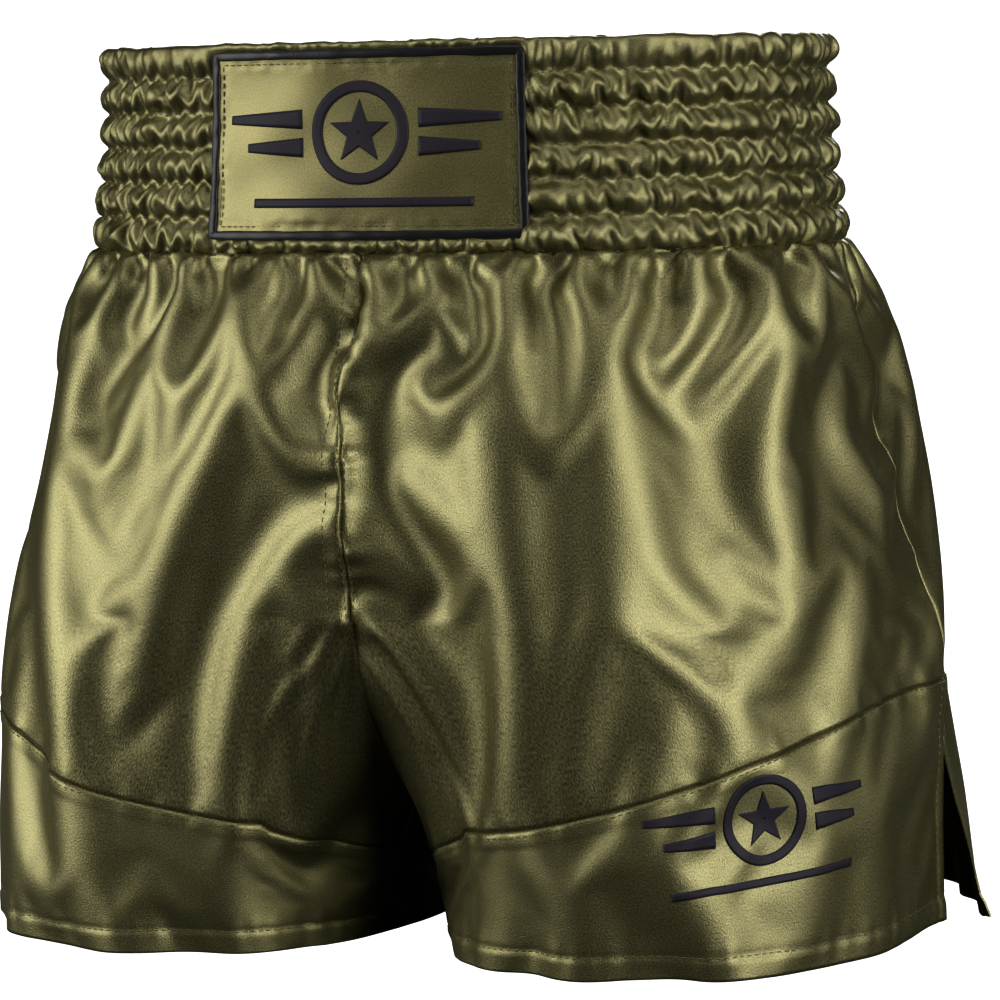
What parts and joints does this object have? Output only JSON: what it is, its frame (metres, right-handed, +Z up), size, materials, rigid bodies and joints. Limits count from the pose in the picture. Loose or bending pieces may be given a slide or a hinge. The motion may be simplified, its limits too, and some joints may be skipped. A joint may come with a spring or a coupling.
{
  "type": "boxing shorts",
  "caption": "Wide-leg satin boxing shorts with a gathered elastic waistband, a bound front patch, lower band panels and side slits.",
  "frame": {"origin": "on the plane of the hems, under the middle of the shorts", "axes": "+Z up towards the waist, -Y the way the wearer faces, +X the wearer's left"},
  "size_m": [0.3922, 0.2643, 0.356],
  "materials": {
    "olive_satin": "satin",
    "patch_satin": "satin",
    "lining_cloth": "matte",
    "elastic_webbing": "matte",
    "black_binding": "satin",
    "label_tape": "satin",
    "charcoal_print": "matte",
    "olive_thread": "satin"
  },
  "bodies": {
    "shorts": {"waistband_outer_front": "olive_satin", "waistband_lining_front": "lining_cloth", "elastic_band_1": "elastic_webbing", "elastic_band_2": "elastic_webbing", "elastic_band_3": "elastic_webbing", "elastic_band_4": "elastic_webbing", "elastic_band_5": "elastic_webbing", "elastic_band_6": "elastic_webbing", "patch_panel": "patch_satin", "patch_binding": "black_binding", "crotch_gusset": "olive_satin", "front_panel_left": "olive_satin", "front_panel_right": "olive_satin", "back_panel_left": "olive_satin", "back_panel_right": "olive_satin", "front_band_left": "olive_satin", "front_band_right": "olive_satin", "back_band_left": "olive_satin", "back_band_right": "olive_satin"},
    "waist_back": {"waistband_outer_back": "olive_satin", "waistband_lining_back": "lining_cloth", "care_label": "label_tape"},
    "front_flap_left_body": {"front_flap_left": "olive_satin"},
    "front_flap_right_body": {"front_flap_right": "olive_satin"},
    "back_flap_left_body": {"back_flap_left": "olive_satin"},
    "back_flap_right_body": {"back_flap_right": "olive_satin"}
  },
  "joints": [
    {"name": "waist_stretch", "type": "slide", "parent": "shorts", "child": "waist_back", "axis": [0, 1, 0], "range_m": [0, 0.04], "stiffness_N_per_m": 450, "deforming": ["elastic_band_1", "elastic_band_2", "elastic_band_3", "elastic_band_4", "elastic_band_5", "elastic_band_6"]},
    {"name": "front_flap_left_hinge", "type": "hinge", "parent": "shorts", "child": "front_flap_left_body", "pos_m": [0.1925, -0.058, 0], "axis": [-0.0446, -0.5837, -0.8107], "range_deg": [0, 60]},
    {"name": "front_flap_right_hinge", "type": "hinge", "parent": "shorts", "child": "front_flap_right_body", "pos_m": [-0.1925, -0.058, 0], "axis": [-0.0446, 0.5837, 0.8107], "range_deg": [0, 60]},
    {"name": "back_flap_left_hinge", "type": "hinge", "parent": "shorts", "child": "back_flap_left_body", "pos_m": [0.1825, 0.086, 0], "axis": [0.1248, -0.5797, 0.8052], "range_deg": [0, 60]},
    {"name": "back_flap_right_hinge", "type": "hinge", "parent": "shorts", "child": "back_flap_right_body", "pos_m": [-0.1825, 0.086, 0], "axis": [0.1248, 0.5797, -0.8052], "range_deg": [0, 60]}
  ]
}
